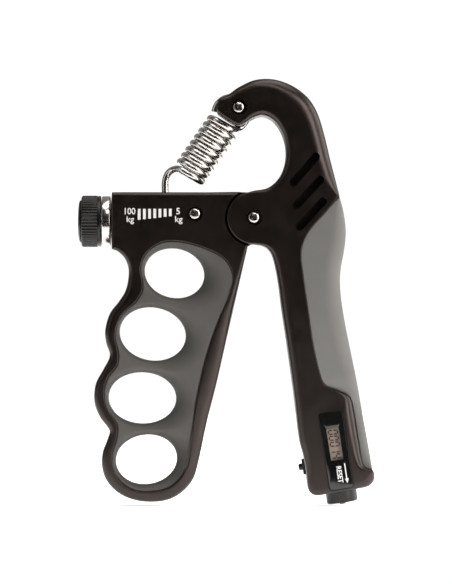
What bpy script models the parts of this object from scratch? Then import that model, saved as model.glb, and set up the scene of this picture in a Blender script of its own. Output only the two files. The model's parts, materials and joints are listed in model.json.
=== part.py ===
"""An adjustable hand grip strengthener with a repetition counter, as separate pieces.

A finger handle with four rings and a palm handle turn on one riveted knuckle. A wire spring
runs from the palm handle's horn to a carriage in the head of the finger handle. A knob turns
a screw that pulls the carriage, and so stretches the spring for a harder grip. The foot of
the palm handle holds a battery counter, which a plunger on its inner edge steps at full squeeze.

The frame is in metres, +Z up. X runs across the handles, from the fingers to the palm, and Y
runs through the thickness, with the front face at -Y. The origin is the middle of the web
between the second and third finger rings, where a hand holds it. Lengths in this file are
millimetres from the knuckle's pivot, unless a comment says otherwise, and MM makes them metres.
"""

import math

import bmesh
import bpy
from mathutils import Vector

MM = 0.001
GAP = 0.3  # kept between any two pieces that touch

# Places of the main features
PIVOT = (41.5, 0.0, 58.2)  # the knuckle's pivot, from the origin
SCREW_Z = -1.3  # height of the adjusting screw's axis
HOOK_PIN = (-30.6, 7.6)  # x and z of the pin that the spring's lower hook hangs on
ANCHOR = (-6.0, 43.1)  # x and z of the rivet inside the spring's upper loop
STOP = (-23.1, 1.5)  # x and z of the rivet that stops the carriage
COUNTER = (31.4, 0.0, -91.0)  # centre of the counter bay
COUNTER_TILT = math.radians(-8.7)  # the bay leans with the handle, its top towards the fingers

# Thicknesses, as half depths either side of the middle plane
BODY = 10.5  # both handles
TONGUE = 5.7  # the finger handle's tongue, between the palm handle's cheeks
CHEEK_SLOT = 6.8  # half the slot between the cheeks
INSERT_FACE = 10.0  # front and back of the soft finger insert
WEB = 6.3  # the finger handle's web under the insert
CORE = 7.4  # the palm handle's core under its pad
CHAMBER = 4.9  # the carriage's chamber

# Radii and edges
KNUCKLE_R = 10.5
KNUCKLE_CUT_R = 11.3
TONGUE_R = 9.6
SLOT_R = 10.9
FINGER_EDGE = 2.5
PALM_EDGE = 3.0
PAD_DEPTH = 3.0  # thickness of the pad over the palm handle's outer edge
RING_LINING = 1.3  # soft lining inside each finger ring
RIVET_SHANK = 1.5
RIVET_HEAD = 2.2
RIVET_RECESS = (3.0, 1.2)  # radius and depth of the counterbore round each rivet head

# The spring
WIRE_R = 1.38
COIL_R = 5.7  # to the wire's centre
COIL_PITCH = 2.96
COIL_FOOT = Vector((-24.2, 0.0, 18.9))  # a point on the coil's axis
LOOP_CENTRE = Vector((-8.85, 0.0, 40.9))
LOOP_R = 6.5
HOOK_R = 3.9
COIL_STEPS = 14  # points in each turn

# Finger rings: centre x and z, half width and half height, and the degrees that drop the +X end
RINGS = (
    (-31.2, -21.7, 11.85, 9.65, 13),
    (-39.75, -45.6, 13.1, 10.45, 9),
    (-43.8, -70.65, 13.35, 10.2, 0.5),
    (-42.2, -94.8, 12.1, 9.9, -11),
)

# name: colour, roughness, metallic
FINISHES = {
    "black_shell": ((0.013, 0.011, 0.010), 0.42, 0.0),
    "grey_rubber": ((0.150, 0.145, 0.135), 0.72, 0.0),
    "pad_rubber": ((0.200, 0.200, 0.190), 0.68, 0.0),
    "knob_plastic": ((0.012, 0.011, 0.011), 0.35, 0.0),
    "nylon": ((0.60, 0.58, 0.52), 0.50, 0.0),
    "chrome": ((0.72, 0.71, 0.69), 0.12, 1.0),
    "nickel": ((0.42, 0.40, 0.38), 0.28, 1.0),
    "steel": ((0.45, 0.45, 0.44), 0.32, 1.0),
    "brass": ((0.60, 0.42, 0.16), 0.30, 1.0),
    "gloss_black": ((0.006, 0.006, 0.006), 0.08, 0.0),
    "lcd": ((0.34, 0.28, 0.22), 0.25, 0.0),
    "board": ((0.02, 0.11, 0.05), 0.45, 0.0),
}

# Which way a turned piece's axis points, and which way a flat outline faces
ALONG = {"X": (0, math.pi / 2, 0), "Y": (-math.pi / 2, 0, 0), "Z": (0, 0, 0)}
FACING_FRONT = (math.pi / 2, 0, 0)  # outline in X and Z
FACING_SIDE = (math.pi / 2, 0, math.pi / 2)  # outline in Y and Z


# ---------------------------------------------------------------- tools

for item in list(bpy.data.objects):
    bpy.data.objects.remove(item)

parts = bpy.data.collections.new("hand_grip_strengthener")
cutters = bpy.data.collections.new("cutters")
bpy.context.scene.collection.children.link(parts)
bpy.context.scene.collection.children.link(cutters)


def mm(*values):
    return Vector(values) * MM


def empty(name, at, parent=None, turn=(0, 0, 0)):
    """A joint axis or a local frame that other objects hang from."""
    frame = bpy.data.objects.new(name, None)
    frame.empty_display_size = 0.01
    frame.location = mm(*at)
    frame.rotation_euler = turn
    frame.parent = parent
    parts.objects.link(frame)
    return frame


def place(name, data, parent, finish, at=(0, 0, 0), turn=(0, 0, 0)):
    """Links a new object. With a finish it is a piece, and without one it is a cutter."""
    solid = bpy.data.objects.new(name, data)
    solid.parent = parent
    solid.location = mm(*at)
    solid.rotation_euler = turn
    if finish is None:
        solid.hide_render = True
        solid.display_type = "WIRE"
        cutters.objects.link(solid)
        return solid
    colour, roughness, metallic = FINISHES[finish]
    material = bpy.data.materials.new(name)
    material.use_nodes = True
    shader = material.node_tree.nodes["Principled BSDF"]
    shader.inputs["Base Color"].default_value = (*colour, 1)
    shader.inputs["Roughness"].default_value = roughness
    shader.inputs["Metallic"].default_value = metallic
    data.materials.append(material)
    parts.objects.link(solid)
    return solid


def smooth(mesh):
    mesh.shade_smooth()
    mesh.set_sharp_from_angle(angle=math.radians(35))


def combine(target, tool, operation):
    step = target.modifiers.new(tool.name, "BOOLEAN")
    step.operation = operation
    step.object = tool


def cut(target, *tools):
    for tool in tools:
        combine(target, tool, "DIFFERENCE")


def join(target, *tools):
    for tool in tools:
        combine(target, tool, "UNION")


def box(name, parent, x, y, z, finish=None):
    """A box from its low and high x, y and z."""
    shape = bmesh.new()
    bmesh.ops.create_cube(shape, size=1)
    size = [(high - low) * MM for low, high in (x, y, z)]
    bmesh.ops.scale(shape, vec=size, verts=shape.verts)
    mesh = bpy.data.meshes.new(name)
    shape.to_mesh(mesh)
    shape.free()
    centre = [(low + high) / 2 for low, high in (x, y, z)]
    return place(name, mesh, parent, finish, centre)


def rod(name, parent, axis, at, radius, low, high, finish=None, sides=24):
    """A cylinder along an axis through at, from low to high along that axis."""
    shape = bmesh.new()
    bmesh.ops.create_cone(
        shape, cap_ends=True, segments=sides, depth=(high - low) * MM,
        radius1=radius * MM, radius2=radius * MM,
    )
    bmesh.ops.translate(shape, vec=mm(0, 0, (low + high) / 2), verts=shape.verts)
    mesh = bpy.data.meshes.new(name)
    shape.to_mesh(mesh)
    shape.free()
    smooth(mesh)
    return place(name, mesh, parent, finish, at, ALONG[axis])


def turned(name, parent, axis, at, profile, finish=None, sides=24):
    """A turned piece. Its (radius, height) profile runs down the outer side. A profile that
    doesn't start on the axis is closed into a ring."""
    mesh = bpy.data.meshes.new(name)
    count = len(profile)
    edges = [(i, i + 1) for i in range(count - 1)]
    if profile[0][0] > 0:
        edges.append((count - 1, 0))
    mesh.from_pydata([mm(r, 0, h) for r, h in profile], edges, [])
    solid = place(name, mesh, parent, finish, at, ALONG[axis])
    turn = solid.modifiers.new("turn", "SCREW")
    turn.steps = turn.render_steps = sides
    turn.use_merge_vertices = True
    turn.merge_threshold = 0.00001
    turn.use_smooth_shade = True
    return solid


def slab(name, parent, outline, low, high, finish=None, edge=0.0, grow=0.0, steps=2,
         curved=True, facing=FACING_FRONT):
    """A flat outline, thick from low to high, with rims rounded by edge. The outline is smooth
    through its points, apart from those marked "corner". grow moves it outwards all round."""
    curve = bpy.data.curves.new(name, "CURVE")
    curve.dimensions = "2D"
    curve.fill_mode = "BOTH"
    curve.resolution_u = steps if curved else 1
    curve.render_resolution_u = 0
    curve.extrude = ((high - low) / 2 - edge) * MM
    curve.bevel_depth = edge * MM
    curve.bevel_resolution = 1 if edge > 1 else 0
    curve.offset = (grow - edge) * MM
    spline = curve.splines.new("BEZIER")
    spline.use_cyclic_u = True
    spline.bezier_points.add(len(outline) - 1)
    for knot, (across, up, *kind) in zip(spline.bezier_points, outline):
        knot.co = mm(across, up, 0)
        handle = "AUTO" if curved and not kind else "VECTOR"
        knot.handle_left_type = knot.handle_right_type = handle
    middle = (low + high) / 2
    place_at = (0, middle, 0) if facing is FACING_FRONT else (middle, 0, 0)
    guide = place(name + "_outline", curve, parent, None, place_at, facing)
    graph = bpy.context.evaluated_depsgraph_get()
    mesh = bpy.data.meshes.new_from_object(guide.evaluated_get(graph))
    shape = bmesh.new()
    shape.from_mesh(mesh)
    bmesh.ops.remove_doubles(shape, verts=shape.verts, dist=0.000001)
    bmesh.ops.recalc_face_normals(shape, faces=shape.faces)
    shape.to_mesh(mesh)
    shape.free()
    smooth(mesh)
    solid = place(name, mesh, parent, finish)
    solid.matrix_basis = guide.matrix_basis.copy()
    bpy.data.objects.remove(guide)
    return solid


def arc(centre, radius, start, end, count):
    """Points on an arc, with its angles in degrees from +X towards +Z."""
    found = []
    for i in range(count):
        angle = math.radians(start + (end - start) * i / (count - 1))
        found.append((centre[0] + radius * math.cos(angle), centre[1] + radius * math.sin(angle)))
    return found


def ellipse(centre, half_width, half_height, tilt, count=26):
    """Points on an ellipse that is tilted so that its +X end drops."""
    found = []
    for i in range(count):
        angle = 2 * math.pi * i / count
        across, up = half_width * math.cos(angle), half_height * math.sin(angle)
        found.append((
            centre[0] + across * math.cos(tilt) + up * math.sin(tilt),
            centre[1] - across * math.sin(tilt) + up * math.cos(tilt),
        ))
    return found


def rounded_rectangle(x, z, radius):
    """Points of a rectangle with round corners, from its low and high x and z."""
    found = []
    corners = ((x[1], z[1], 0), (x[0], z[1], 90), (x[0], z[0], 180), (x[1], z[0], 270))
    for corner_x, corner_z, start in corners:
        centre_x = corner_x + radius * (1 if corner_x == x[0] else -1)
        centre_z = corner_z + radius * (1 if corner_z == z[0] else -1)
        found += arc((centre_x, centre_z), radius, start, start + 90, 3)
    return found


def stadium(start, end, radius):
    """Points of a slot with round ends, between the centres of its ends."""
    heading = math.degrees(math.atan2(end[1] - start[1], end[0] - start[0]))
    return arc(end, radius, heading - 90, heading + 90, 6) + arc(
        start, radius, heading + 90, heading + 270, 6
    )


def smooth_path(knots, steps):
    """Catmull-Rom points from the second knot up to, but without, the last but one."""
    found = []
    for before, start, end, after in zip(knots, knots[1:], knots[2:], knots[3:]):
        for i in range(steps):
            t = i / steps
            found.append(0.5 * (
                2 * start + (end - before) * t
                + (2 * before - 5 * start + 4 * end - after) * t**2
                + (3 * start - before - 3 * end + after) * t**3
            ))
    return found


def wire(name, parent, points, radius, finish, at=(0, 0, 0)):
    """A round wire along a path."""
    curve = bpy.data.curves.new(name, "CURVE")
    curve.dimensions = "3D"
    curve.bevel_depth = radius * MM
    curve.bevel_resolution = 2
    curve.render_resolution_u = 0
    curve.use_fill_caps = True
    spline = curve.splines.new("POLY")
    spline.points.add(len(points) - 1)
    for knot, point in zip(spline.points, points):
        knot.co = (*(Vector(point) * MM), 1)
    return place(name, curve, parent, finish, at)


# ---------------------------------------------------------------- outlines

# Outer edge of the finger handle, clockwise from the head's top left corner
FINGER_OUTLINE = [
    (-55.9, 10.0, "corner"), (-1.0, 9.9, "corner"),
    *arc((0, 0), TONGUE_R, 84, -90, 10)[1:],
    (-2.4, -10.9, "corner"), (-6.3, -28.3), (-10.8, -48.0), (-14.5, -64.4), (-18.2, -79.2),
    (-21.9, -96.4), (-23.7, -102.1), (-27.5, -106.8), (-33.1, -110.1), (-40.4, -111.1),
    (-47.8, -110.0), (-53.6, -107.1), (-57.7, -102.5), (-59.4, -97.2), (-59.1, -91.7),
    (-57.3, -86.8), (-56.4, -83.4), (-57.9, -80.9), (-60.0, -78.2), (-61.9, -73.8), (-62.4, -69.6),
    (-61.6, -64.4), (-58.6, -58.9), (-56.3, -53.9), (-57.7, -49.0), (-58.1, -44.0),
    (-56.3, -37.5), (-52.8, -32.8), (-50.4, -29.0), (-49.2, -24.7), (-49.0, -20.0),
    (-50.5, -15.9), (-53.2, -13.2), (-55.7, -12.3, "corner"),
]

# The soft insert, clockwise from its top left
INSERT_OUTLINE = [
    (-44.4, -19.8), (-42.2, -14.0), (-36.3, -9.8), (-29.7, -9.2), (-20.0, -11.6),
    (-11.6, -16.0), (-8.2, -22.0), (-8.8, -29.1), (-13.3, -39.0), (-18.2, -52.9),
    (-22.0, -69.0), (-23.8, -81.5), (-24.9, -91.5), (-26.6, -98.2), (-32.0, -104.7),
    (-39.5, -106.8), (-47.2, -106.2), (-53.2, -101.6), (-55.4, -94.0), (-53.6, -86.0),
    (-53.4, -81.0), (-56.9, -75.2), (-58.5, -69.2), (-57.2, -62.8), (-53.5, -57.8),
    (-52.9, -53.6), (-54.2, -45.5), (-51.9, -38.6), (-46.4, -33.1), (-43.6, -28.6),
    (-43.6, -24.2),
]

# Outer edge of the palm handle: round the knuckle, down the inner edge, up the outer edge
PALM_OUTLINE = [
    *arc((0, 0), KNUCKLE_R, 125, 284, 9),
    (5.0, -11.9), (7.3, -15.2), (9.4, -24.6), (10.9, -36.1), (12.8, -48.8), (15.6, -69.3),
    (17.7, -87.0), (19.3, -93.1), (20.3, -98.6), (20.8, -104.0), (21.6, -107.0),
    (24.0, -108.5), (29.0, -107.9), (40.9, -105.9), (45.0, -104.9), (47.0, -102.6),
    (46.8, -98.6), (45.1, -90.6), (43.0, -79.2), (40.2, -63.6), (37.7, -51.2),
    (35.3, -39.0), (33.9, -28.3), (34.0, -20.3), (35.4, -12.7), (36.0, -5.0),
    (34.9, 3.0), (33.2, 10.0), (30.0, 22.4), (27.3, 33.6), (24.7, 41.5), (21.1, 47.1),
    (15.2, 51.6), (8.0, 54.1), (0.6, 53.9), (-6.0, 51.0), (-9.6, 48.4),
    (-13.9, 46.3, "corner"), (-14.6, 41.2, "corner"), (-6.0, 35.6, "corner"),
    (-3.4, 36.9), (-0.4, 38.9), (3.4, 39.9), (7.6, 37.9), (10.9, 33.1), (12.5, 27.1),
    (12.1, 21.0), (9.7, 15.4), (5.4, 11.6), (-0.4, 10.4),
]

# The pad's inner border, and a far edge that lies outside the handle
PAD_OUTLINE = [
    (33.4, 8.4, "corner"), (26.9, 0.9), (21.4, -5.4), (18.5, -12.6), (19.3, -22.9),
    (21.2, -36.1), (23.0, -48.7), (25.4, -60.0), (27.6, -65.2), (32.4, -67.4),
    (37.2, -69.6), (38.8, -74.8), (40.6, -85.8), (42.3, -95.6), (44.4, -98.4, "corner"),
    (60.0, -98.4, "corner"), (60.0, 8.4, "corner"),
]

# The three slanted recesses on the horn, between the centres of their ends
HORN_SLOTS = (
    ((15.9, 13.6), (23.8, 23.4)),
    ((17.4, 4.7), (25.2, 14.1)),
    ((18.4, -3.3), (26.7, 5.9)),
)
HORN_SLOT = (1.2, 1.4)  # half width and depth

# ---------------------------------------------------------------- joint axes

pivot = empty("pivot", PIVOT)
palm_axis = empty("palm_axis", (0, 0, 0), pivot)
knob_axis = empty("knob_axis", (0, 0, SCREW_Z), pivot)
carriage_axis = empty("carriage_axis", (HOOK_PIN[0], 0, SCREW_Z), pivot)
hook_axis = empty("hook_axis", (HOOK_PIN[0], 0, HOOK_PIN[1]), pivot)
counter = empty("counter_bay", COUNTER, palm_axis, (0, COUNTER_TILT, 0))


# ---------------------------------------------------------------- rivets

def rivet(name, parent, at, shank, head, length):
    """A round-headed rivet through both faces, its tail upset flat in the rear counterbore."""
    dome = [(head * math.cos(math.radians(a)), -length + 0.9 * (1 - math.sin(math.radians(a))))
            for a in (0, 45)]
    profile = [
        (0, length - 0.1), (head - 0.3, length - 0.1), (head, length - 0.4),
        (head, length - 0.9), (shank, length - 0.9), (shank, -length + 0.9),
        *dome, (0, -length),
    ]
    return turned(name, parent, "Y", (at[0], 0, at[1]), profile, "nickel", sides=16)


def rivet_bores(name, at, parent, shank, half_depth, recess=RIVET_RECESS):
    """Cutters for a rivet: its hole and the two counterbores for its head and tail."""
    place_at = (at[0], 0, at[1])
    hole = rod(name + "_hole", parent, "Y", place_at, shank + GAP, -20, 20, sides=20)
    front = rod(name + "_front", parent, "Y", place_at, recess[0], -20, recess[1] - half_depth)
    rear = rod(name + "_rear", parent, "Y", place_at, recess[0], half_depth - recess[1], 20)
    return hole, front, rear


# ---------------------------------------------------------------- finger handle

CHAMBER_X = (-47.5, -20.5)
CHAMBER_FLOOR = -7.0
HEAD_FACE = -55.9  # left face of the head
SPIGOT = (5.0, -58.5)  # radius and end of the spigot that carries the ferrule
SCREW_R = 2.0
BUSH_R = 3.4
STOP_SHANK = 1.0


def ring_outline(index, grow):
    x, z, half_width, half_height, tilt = RINGS[index]
    return ellipse((x, z), half_width + grow, half_height + grow, math.radians(tilt))


def finger_frame():
    frame = slab("finger_frame", pivot, FINGER_OUTLINE, -BODY, BODY, "black_shell", FINGER_EDGE)
    for side, low, high in (("front", -20, -TONGUE), ("rear", TONGUE, 20)):
        cut(frame, rod(f"knuckle_{side}", pivot, "Y", (0, 0, 0), KNUCKLE_CUT_R, low, high, sides=48))
    for side, low, high in (("front", -20, -WEB), ("rear", WEB, 20)):
        cut(frame, slab(f"insert_seat_{side}", pivot, INSERT_OUTLINE, low, high, grow=GAP))
    for i in range(len(RINGS)):
        cut(frame, slab(f"ring_seat_{i}", pivot, ring_outline(i, RING_LINING + GAP), -20, 20, curved=False))
    join(frame, rod("ferrule_spigot", pivot, "X", (0, 0, SCREW_Z), SPIGOT[0], SPIGOT[1], HEAD_FACE + 2))
    cut(
        frame,
        box("chamber", pivot, CHAMBER_X, (-CHAMBER, CHAMBER), (CHAMBER_FLOOR, 20)),
        rod("screw_hole", pivot, "X", (0, 0, SCREW_Z), SCREW_R + GAP, -70, CHAMBER_X[0] + 1, sides=20),
        rod("bush_seat", pivot, "Y", (0, 0, 0), BUSH_R + GAP, -20, 20),
        *rivet_bores("stop", STOP, pivot, STOP_SHANK, BODY),
    )


def finger_grip_insert():
    """Front and back skins joined by the linings of the four rings, round the frame's web."""
    insert = slab(
        "finger_grip_insert", pivot, INSERT_OUTLINE, -INSERT_FACE, INSERT_FACE, "grey_rubber", 0.8
    )
    web = slab("web_space", pivot, INSERT_OUTLINE, -WEB - GAP, WEB + GAP, grow=5)
    for i in range(len(RINGS)):
        lining = ring_outline(i, RING_LINING)
        cut(web, slab(f"ring_lining_{i}", pivot, lining, -20, 20, curved=False))
    cut(insert, web)
    for i in range(len(RINGS)):
        cut(insert, slab(f"ring_{i}", pivot, ring_outline(i, 0), -20, 20, curved=False))


def finger_fittings():
    turned(
        "adjuster_ferrule", pivot, "X", (0, 0, SCREW_Z),
        [(9.3, HEAD_FACE - GAP), (9.9, HEAD_FACE - 0.9), (9.9, -59.0), (9.3, -59.6),
         (SPIGOT[0] + GAP, -59.6), (SPIGOT[0] + GAP, HEAD_FACE - GAP)],
        "chrome", sides=32,
    )
    turned(
        "pivot_bush", pivot, "Y", (0, 0, 0),
        [(BUSH_R, TONGUE - 0.2), (BUSH_R, 0.2 - TONGUE),
         (RIVET_SHANK + GAP, 0.2 - TONGUE), (RIVET_SHANK + GAP, TONGUE - 0.2)],
        "brass", sides=24,
    )
    turned(
        "thrust_washer", pivot, "X", (CHAMBER_X[0] + GAP, 0, SCREW_Z),
        [(4.0, 0.7), (4.0, 0), (SCREW_R + GAP, 0), (SCREW_R + GAP, 0.7)],
        "nylon", sides=24,
    )
    rivet("stop_rivet", pivot, STOP, STOP_SHANK, RIVET_HEAD, BODY)


# ---------------------------------------------------------------- knob and screw

KNOB_R = 10.1
KNOB_X = (-67.6, -59.9)
KNOB_FLUTES = 40
FLUTE_DEPTH = 0.4
CLIP_X = -46.2  # left face of the retaining clip
SCREW_X = (-63.2, -25.4)


def knob():
    """A fluted drum with a plain band beside the ferrule, bored for the screw and the cap."""
    flutes = [
        (math.cos(a) * r, math.sin(a) * r)
        for i in range(2 * KNOB_FLUTES)
        for a in [math.pi * i / KNOB_FLUTES]
        for r in [KNOB_R - FLUTE_DEPTH * (i % 2)]
    ]
    drum = slab(
        "knob", knob_axis, flutes, KNOB_X[0], KNOB_X[1] - 1.2, "knob_plastic",
        curved=False, facing=FACING_SIDE,
    )
    join(drum, rod("knob_band", knob_axis, "X", (0, 0, 0), KNOB_R - 0.15, KNOB_X[1] - 1.6, KNOB_X[1], sides=44))
    cut(
        drum,
        rod("cap_seat", knob_axis, "X", (0, 0, 0), 6.3, -80, -65.2),
        rod("knob_screw_hole", knob_axis, "X", (0, 0, 0), 1.3, -80, -50, sides=16),
        rod("screw_seat", knob_axis, "X", (0, 0, 0), SCREW_R + GAP, -63.5, -50, sides=20),
    )


def knob_pieces():
    turned(
        "knob_cap", knob_axis, "X", (0, 0, 0),
        [(0, -67.0), (6.0, -67.0), (6.0, -67.9), (8.3, -67.9), (7.9, -68.4), (5.5, -68.8), (0, -69.0)],
        "knob_plastic", sides=28,
    )
    turned(
        "knob_screw", knob_axis, "X", (0, 0, 0),
        [(0, -60.0), (1.0, -60.0), (1.0, -65.5), (2.4, -65.5), (2.4, -66.2), (1.5, -66.7), (0, -66.7)],
        "steel", sides=16,
    )
    groove = (CLIP_X - 0.3, CLIP_X + 1.1)
    screw = turned(
        "lead_screw", knob_axis, "X", (0, 0, 0),
        [(0, SCREW_X[1]), (1.4, SCREW_X[1]), (SCREW_R, SCREW_X[1] - 0.6), (SCREW_R, groove[1]),
         (1.5, groove[1]), (1.5, groove[0]), (SCREW_R, groove[0]), (SCREW_R, SCREW_X[0]),
         (0, SCREW_X[0])],
        "steel", sides=20,
    )
    cut(screw, rod("screw_tapping", knob_axis, "X", (0, 0, 0), 1.3, -70, -59.6, sides=16))
    clip = turned(
        "retaining_clip", knob_axis, "X", (CLIP_X, 0, 0),
        [(3.6, 0.8), (3.6, 0), (1.8, 0), (1.8, 0.8)],
        "steel", sides=24,
    )
    cut(clip, box("clip_mouth", knob_axis, (CLIP_X - 1, CLIP_X + 2), (-1.3, 1.3), (-5, 0)))


# ---------------------------------------------------------------- carriage

NUT_R = 2.75
GROOVE = 1.8  # half width of the groove for the hook
SLEEVE_R = 2.2
PIN_R = 1.25


def carriage():
    """A block that the screw pulls along the chamber, with two ears for the hook's pin.
    Heights are from the screw's axis and lengths from the pin."""
    lift = HOOK_PIN[1] - SCREW_Z
    block = box(
        "carriage_block", carriage_axis, (-3.8, 4.6), (GAP - CHAMBER, CHAMBER - GAP),
        (CHAMBER_FLOOR - SCREW_Z + GAP, lift + 1.9), "nylon",
    )
    cut(
        block,
        box("hook_groove", carriage_axis, (-9, 9), (-GROOVE, GROOVE), (3.3, 20)),
        rod("nut_seat", carriage_axis, "X", (0, 0, 0), NUT_R + GAP, -9, 9, sides=24),
        rod("pin_hole", carriage_axis, "Y", (0, 0, lift), PIN_R + GAP, -9, 9, sides=20),
    )
    turned(
        "brass_nut", carriage_axis, "X", (0, 0, 0),
        [(NUT_R, 4.2), (NUT_R, -3.6), (SCREW_R + GAP, -3.6), (SCREW_R + GAP, 4.2)],
        "brass", sides=24,
    )
    rod("hook_pin", carriage_axis, "Y", (0, 0, lift), PIN_R, -4.4, 4.4, "steel", sides=20)


# ---------------------------------------------------------------- spring

AXIS = (LOOP_CENTRE - COIL_FOOT).normalized()
ACROSS = Vector((AXIS.z, 0, -AXIS.x))  # to the coil's lower right
DEEP = Vector((0, 1, 0))
FIRST_CREST = -1.52  # along the axis from COIL_FOOT to the wire at the end of the first turn


def coil_point(turns):
    """The wire's centre. It is at the coil's lower right after each whole number of turns."""
    angle = 2 * math.pi * turns
    along = FIRST_CREST + COIL_PITCH * (turns - 1)
    return COIL_FOOT + AXIS * along + COIL_R * (math.cos(angle) * ACROSS + math.sin(angle) * DEEP)


def coil(start, end):
    count = round((end - start) * COIL_STEPS)
    return [coil_point(start + (end - start) * i / count) for i in range(count + 1)]


def beside_axis(across, deep, along):
    """A point from its distances across and through the coil, and along it from COIL_FOOT."""
    return COIL_FOOT + ACROSS * across + DEEP * deep + AXIS * along


def spring():
    """One wire in three nodes: the lower hook, the middle turns, and the upper loop.
    Points are measured from the pivot, so each piece is shifted to hang from the hook's axis."""
    hook_centre = Vector((HOOK_PIN[0], 0, HOOK_PIN[1]))
    curl = [Vector((x, 0, z)) for x, z in arc(HOOK_PIN, HOOK_R, 10, -180, 10)]
    neck = [Vector((-34.8, 0, 13.6)), Vector((-33.7, -0.2, 17.3)), Vector((-31.4, -1.6, 19.0))]
    lower = coil(0.63, 3.45)
    hook = curl[:-1] + smooth_path([curl[-2], curl[-1], *neck, lower[0], lower[1]], 3) + lower
    middle = coil(3.48, 6.0)
    upper = coil(6.03, 8.82)
    throat = [beside_axis(4.7, -2.7, 22.3), beside_axis(5.8, -0.7, 23.6)]
    loop = [
        LOOP_CENTRE + LOOP_R * (math.cos(a) * ACROSS + math.sin(a) * AXIS)
        for a in [math.radians(-10 + 18.2 * i) for i in range(13)]
    ]
    top = upper[:-1] + smooth_path([upper[-2], upper[-1], *throat, loop[0], loop[1]], 2) + loop
    for name, points in (("spring_hook_end", hook), ("spring_middle", middle), ("spring_loop_end", top)):
        wire(name, hook_axis, [point - hook_centre for point in points], WIRE_R, "chrome")
    turned(
        "hook_sleeve", hook_axis, "Y", (0, 0, 0),
        [(SLEEVE_R, GROOVE - GAP), (SLEEVE_R, GAP - GROOVE),
         (PIN_R + GAP, GAP - GROOVE), (PIN_R + GAP, GROOVE - GAP)],
        "steel", sides=20,
    )


# ---------------------------------------------------------------- palm handle

LOOP_SLOT = (9.0, 1.9)  # radius and half width of the slot for the spring's upper loop
ANCHOR_SHANK = 1.2

# The counter bay. In its own frame, x runs across the handle, y is the depth and z runs up it.
BAY_X = (-8.2, 7.6)
BAY_Z = (-11.6, 15.3)
BAY_FRONT = -7.2  # back of the front wall
COVER_X = (-9.4, 8.8)
COVER_Z = (-13.2, 19.4)
COVER_SEAT = 8.6
WINDOW = ((-4.05, 5.25), (-15.1, 15.1))
LCD = ((-1.85, 3.25), (-3.7, 8.7))
INNER_EDGE = -12.4  # the handle's inner edge beside the plunger
PLUNGER_Z = -4.7
PLUNGER_R = 1.35
BUTTON_X = 0.35
BUTTON_R = 6.15
SCREW_SPOTS = {"left": -5.8, "right": 5.2}
COVER_SCREW_Z = 17.4


def palm_frame():
    frame = slab("palm_frame", palm_axis, PALM_OUTLINE, -BODY, BODY, "black_shell", PALM_EDGE)
    pad_space = slab("pad_space", palm_axis, PAD_OUTLINE, -20, 20, grow=GAP)
    cut(pad_space, slab("pad_core", palm_axis, PALM_OUTLINE, -CORE, CORE, edge=1.0, grow=-PAD_DEPTH - GAP))
    cut(
        frame,
        pad_space,
        rod("cheek_slot", palm_axis, "Y", (0, 0, 0), SLOT_R, -CHEEK_SLOT, CHEEK_SLOT, sides=40),
        rod("loop_slot", palm_axis, "Y", tuple(LOOP_CENTRE), LOOP_SLOT[0], -LOOP_SLOT[1], LOOP_SLOT[1]),
        *rivet_bores("pivot", (0, 0), palm_axis, RIVET_SHANK, BODY),
        *rivet_bores("anchor", ANCHOR, palm_axis, ANCHOR_SHANK, BODY),
    )
    for i, (start, end) in enumerate(HORN_SLOTS):
        outline = stadium(start, end, HORN_SLOT[0])
        for side, low, high in (("front", -20, HORN_SLOT[1] - BODY), ("rear", BODY - HORN_SLOT[1], 20)):
            cut(frame, slab(f"horn_slot_{side}_{i}", palm_axis, outline, low, high, curved=False))
    cut(
        frame,
        box("bay", counter, BAY_X, (BAY_FRONT, 20), BAY_Z),
        box("cover_seat", counter, (COVER_X[0] - GAP, COVER_X[1] + GAP), (COVER_SEAT, 20),
            (COVER_Z[0] - GAP, COVER_Z[1] + GAP)),
        slab("window_seat", counter, rounded_rectangle(*WINDOW, 1.3), -20, -8.9, grow=GAP, curved=False),
        box("lcd_hole", counter, (LCD[0][0] - 0.8, LCD[0][1] + 0.8), (-9.5, -6), (LCD[1][0] - 0.8, LCD[1][1] + 0.8)),
        rod("button_bore", counter, "Z", (BUTTON_X, 0, 0), BUTTON_R + GAP, -30, BAY_Z[0] + 1),
        rod("plunger_bore", counter, "X", (0, 0, PLUNGER_Z), PLUNGER_R + GAP, -30, BAY_X[0] + 1, sides=20),
        box("bezel_seat", counter, (-30, -11.4), (-3.8, 3.8), (PLUNGER_Z - 3.4, PLUNGER_Z + 3.4)),
    )
    for side, x in SCREW_SPOTS.items():
        cut(frame, rod(f"cover_thread_{side}", counter, "Y", (x, 0, COVER_SCREW_Z), 1.2, 3.5, 12, sides=16))


def palm_grip_pad():
    """A skin over the front, the outer edge and the back of the palm handle's core."""
    pad = slab("palm_grip_pad", palm_axis, PALM_OUTLINE, -BODY, BODY, "pad_rubber", PALM_EDGE)
    combine(pad, slab("pad_region", palm_axis, PAD_OUTLINE, -20, 20), "INTERSECT")
    core = slab("core_space", palm_axis, PALM_OUTLINE, -CORE - GAP, CORE + GAP, edge=1.0, grow=-PAD_DEPTH)
    cut(pad, core)


def palm_fittings():
    rivet("pivot_rivet", palm_axis, (0, 0), RIVET_SHANK, RIVET_HEAD, BODY)
    rivet("spring_anchor_rivet", palm_axis, ANCHOR, ANCHOR_SHANK, RIVET_HEAD, BODY)
    for side, start in (("front", -6.5), ("rear", 6.0)):
        turned(
            f"hinge_washer_{side}", palm_axis, "Y", (0, start, 0),
            [(6.0, 0.5), (6.0, 0), (RIVET_SHANK + GAP, 0), (RIVET_SHANK + GAP, 0.5)],
            "nylon", sides=24,
        )


# ---------------------------------------------------------------- counter

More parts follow.
